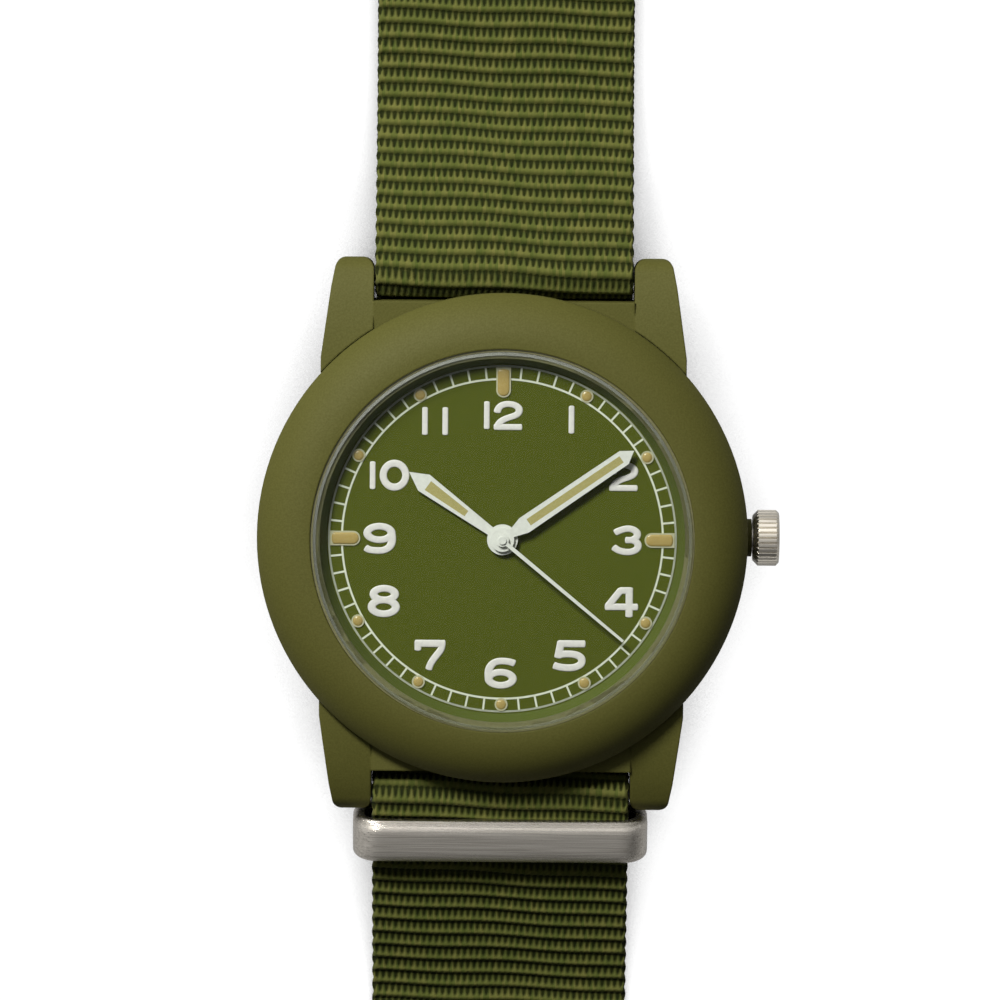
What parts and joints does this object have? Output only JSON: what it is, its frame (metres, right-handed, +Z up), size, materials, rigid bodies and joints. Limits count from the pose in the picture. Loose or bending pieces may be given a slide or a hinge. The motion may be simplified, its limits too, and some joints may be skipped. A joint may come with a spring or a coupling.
{
  "type": "wristwatch",
  "caption": "Field wristwatch with a moulded case, plain green dial, turning hands and crown, lying open on a pull-through webbing strap with steel keepers and a buckle.",
  "frame": {"origin": "on the floor below the centre of the dial, on the underside of the lower webbing", "axes": "+Z up out of the dial, +Y towards 12 o'clock and the buckle, +X towards the crown"},
  "size_m": [0.0401, 0.2826, 0.0119],
  "materials": {
    "case_resin": "fine moulded grain, olive drab",
    "crystal_glass": "polished",
    "seal_rubber": "matte",
    "seal_nylon": "smooth nylon, olive",
    "dial_paint": "matte olive green",
    "flange_paint": "matte olive paint",
    "lume": "chalky cream luminous paint",
    "hand_white": "satin white",
    "holder_plastic": "moulded",
    "plate_plastic": "moulded",
    "steel_small": "satin",
    "stator_iron": "plain",
    "copper_wire": "enamelled copper",
    "cell_steel": "nickel plated",
    "board_green": "solder mask",
    "can_metal": "drawn can",
    "wheel_resin": "moulded",
    "wheel_brass": "turned",
    "back_steel": "satin",
    "crown_steel": "satin, fluted",
    "keeper_steel": "brushed along its length",
    "webbing": "ribbed woven nylon, olive green"
  },
  "bodies": {
    "case": {"case_middle": "case_resin", "bezel": "case_resin", "crystal": "crystal_glass", "crystal_gasket": "seal_nylon", "dial_flange": "flange_paint", "dial": "dial_paint", "hour_plots": "lume", "movement_ring": "holder_plastic", "mainplate": "plate_plastic", "train_bridge": "plate_plastic", "movement_screws": "steel_small", "stator": "stator_iron", "coil": "copper_wire", "battery": "cell_steel", "battery_clip": "steel_small", "circuit_board": "board_green", "quartz_can": "can_metal", "case_back": "back_steel", "case_back_gasket": "seal_rubber", "crown_tube": "back_steel", "spring_bars": "steel_small", "spring_bar_springs": "steel_small", "main_strap_centre": "webbing", "under_strap_centre": "webbing", "under_strap_upper_bend": "webbing", "under_strap_lower_bend": "webbing"},
    "seconds": {"second_hand": "hand_white", "seconds_wheel": "wheel_resin"},
    "third": {"third_wheel": "wheel_resin"},
    "minutes": {"minute_hand": "hand_white", "minute_hand_lume": "lume", "centre_wheel": "wheel_brass"},
    "fifth": {"fifth_wheel": "wheel_resin"},
    "motor_rotor": {"rotor": "wheel_resin"},
    "motion_minute": {"minute_wheel": "wheel_resin"},
    "hours": {"hour_hand": "hand_white", "hour_hand_lume": "lume", "hour_wheel": "wheel_resin"},
    "motion_setting": {"setting_wheel": "wheel_resin"},
    "stem_seal": {"crown_gasket": "seal_rubber"},
    "crown_and_stem": {"crown": "crown_steel", "stem": "steel_small"},
    "clutch": {"sliding_pinion": "steel_small"},
    "lever": {"setting_lever": "steel_small"},
    "yoke_plate": {"yoke": "steel_small"},
    "upper_left_tip": {"upper_left_bar_tip": "steel_small"},
    "upper_right_tip": {"upper_right_bar_tip": "steel_small"},
    "lower_left_tip": {"lower_left_bar_tip": "steel_small"},
    "lower_right_tip": {"lower_right_bar_tip": "steel_small"},
    "upper_strap": {"main_strap_upper": "webbing", "under_strap_upper": "webbing", "buckle_bar": "keeper_steel"},
    "middle_keeper": {"keeper_middle": "keeper_steel"},
    "buckle_keeper": {"keeper_buckle": "keeper_steel"},
    "buckle": {"buckle_frame": "keeper_steel"},
    "tongue": {"buckle_tongue": "keeper_steel"},
    "tail": {"main_strap_tail": "webbing"},
    "keeper_loop": {"under_strap_loop": "webbing", "keeper_lower": "keeper_steel"}
  },
  "joints": [
    {"name": "seconds_turn", "type": "hinge", "parent": "case", "child": "seconds", "pos_m": [0, 0, 0.0075], "axis": [0, 0, 1], "continuous": true},
    {"name": "third_turn", "type": "hinge", "parent": "case", "child": "third", "pos_m": [0.00164, -0.00195, 0.0075], "axis": [0, 0, 1], "continuous": true},
    {"name": "minutes_turn", "type": "hinge", "parent": "case", "child": "minutes", "pos_m": [0, 0, 0.0075], "axis": [0, 0, 1], "continuous": true},
    {"name": "fifth_turn", "type": "hinge", "parent": "case", "child": "fifth", "pos_m": [-0.00226, 0.0013, 0.0075], "axis": [0, 0, 1], "continuous": true},
    {"name": "rotor_turn", "type": "hinge", "parent": "case", "child": "motor_rotor", "pos_m": [-0.00298, 0.00328, 0.0075], "axis": [0, 0, 1], "continuous": true},
    {"name": "minute_wheel_turn", "type": "hinge", "parent": "case", "child": "motion_minute", "pos_m": [0.00226, -0.00082, 0.0075], "axis": [0, 0, 1], "continuous": true},
    {"name": "hours_turn", "type": "hinge", "parent": "case", "child": "hours", "pos_m": [0, 0, 0.0075], "axis": [0, 0, 1], "continuous": true},
    {"name": "setting_wheel_turn", "type": "hinge", "parent": "case", "child": "motion_setting", "pos_m": [0.00464, 0, 0.0075], "axis": [0, 0, 1], "continuous": true},
    {"name": "crown_pull", "type": "slide", "parent": "case", "child": "stem_seal", "axis": [1, 0, 0], "range_m": [0, 0.0008]},
    {"name": "crown_turn", "type": "hinge", "parent": "stem_seal", "child": "crown_and_stem", "pos_m": [0.02, 0, 0.00665], "axis": [1, 0, 0], "continuous": true},
    {"name": "pinion_slide", "type": "slide", "parent": "crown_and_stem", "child": "clutch", "axis": [1, 0, 0], "range_m": [-0.00116, 0]},
    {"name": "lever_swing", "type": "hinge", "parent": "case", "child": "lever", "pos_m": [0.00825, 0.003, 0.0075], "axis": [0, 0, 1], "range_deg": [0, 18.1]},
    {"name": "yoke_swing", "type": "hinge", "parent": "case", "child": "yoke_plate", "pos_m": [0.00653, -0.0032, 0.0075], "axis": [0, 0, 1], "range_deg": [0, 8.2]},
    {"name": "upper_left_tip_press", "type": "slide", "parent": "case", "child": "upper_left_tip", "axis": [1, 0, 0], "range_m": [0, 0.0009], "stiffness_N_per_m": 300, "springref_m": -0.001, "deforming": ["spring_bar_springs"]},
    {"name": "upper_right_tip_press", "type": "slide", "parent": "case", "child": "upper_right_tip", "axis": [-1, 0, 0], "range_m": [0, 0.0009], "stiffness_N_per_m": 300, "springref_m": -0.001, "deforming": ["spring_bar_springs"]},
    {"name": "lower_left_tip_press", "type": "slide", "parent": "case", "child": "lower_left_tip", "axis": [1, 0, 0], "range_m": [0, 0.0009], "stiffness_N_per_m": 300, "springref_m": -0.001, "deforming": ["spring_bar_springs"]},
    {"name": "lower_right_tip_press", "type": "slide", "parent": "case", "child": "lower_right_tip", "axis": [-1, 0, 0], "range_m": [0, 0.0009], "stiffness_N_per_m": 300, "springref_m": -0.001, "deforming": ["spring_bar_springs"]},
    {"name": "upper_strap_swing", "type": "hinge", "parent": "case", "child": "upper_strap", "pos_m": [0, 0.0201, 0.0057], "axis": [-1, 0, 0], "range_deg": [-15, 60], "deforming": ["under_strap_upper_bend"]},
    {"name": "middle_keeper_tilt", "type": "hinge", "parent": "upper_strap", "child": "middle_keeper", "pos_m": [0, 0.068, 0.00175], "axis": [1, 0, 0], "range_deg": [-6, 6]},
    {"name": "buckle_keeper_tilt", "type": "hinge", "parent": "upper_strap", "child": "buckle_keeper", "pos_m": [0, 0.0875, 0.00175], "axis": [1, 0, 0], "range_deg": [-6, 6]},
    {"name": "buckle_swing", "type": "hinge", "parent": "upper_strap", "child": "buckle", "pos_m": [0, 0.094, 0.00193], "axis": [1, 0, 0], "range_deg": [-60, 40]},
    {"name": "tongue_lift", "type": "hinge", "parent": "buckle", "child": "tongue", "pos_m": [0, 0.094, 0.00193], "axis": [1, 0, 0], "range_deg": [0, 80]},
    {"name": "tail_swing", "type": "hinge", "parent": "case", "child": "tail", "pos_m": [0, -0.0201, 0.0057], "axis": [1, 0, 0], "range_deg": [-4, 40], "deforming": ["under_strap_lower_bend"]},
    {"name": "keeper_slide", "type": "slide", "parent": "tail", "child": "keeper_loop", "axis": [0, -0.9272, -0.3746], "range_m": [-0.0004, 0.0016]}
  ],
  "couplings": [
    {"joint": "third_turn", "follows": "seconds_turn", "ratio": -0.13333},
    {"joint": "minutes_turn", "follows": "seconds_turn", "ratio": 0.016667},
    {"joint": "fifth_turn", "follows": "seconds_turn", "ratio": -5},
    {"joint": "rotor_turn", "follows": "seconds_turn", "ratio": 30},
    {"joint": "minute_wheel_turn", "follows": "seconds_turn", "ratio": -0.0055556},
    {"joint": "hours_turn", "follows": "seconds_turn", "ratio": 0.0013889},
    {"joint": "setting_wheel_turn", "follows": "seconds_turn", "ratio": 0.013889},
    {"joint": "pinion_slide", "follows": "crown_pull", "ratio": -1.4375},
    {"joint": "lever_swing", "follows": "crown_pull", "rad_per_m": 392.01},
    {"joint": "yoke_swing", "follows": "crown_pull", "rad_per_m": 176.12},
    {"joint": "keeper_slide", "follows": "tail_swing", "m_per_rad": 0.0022}
  ]
}
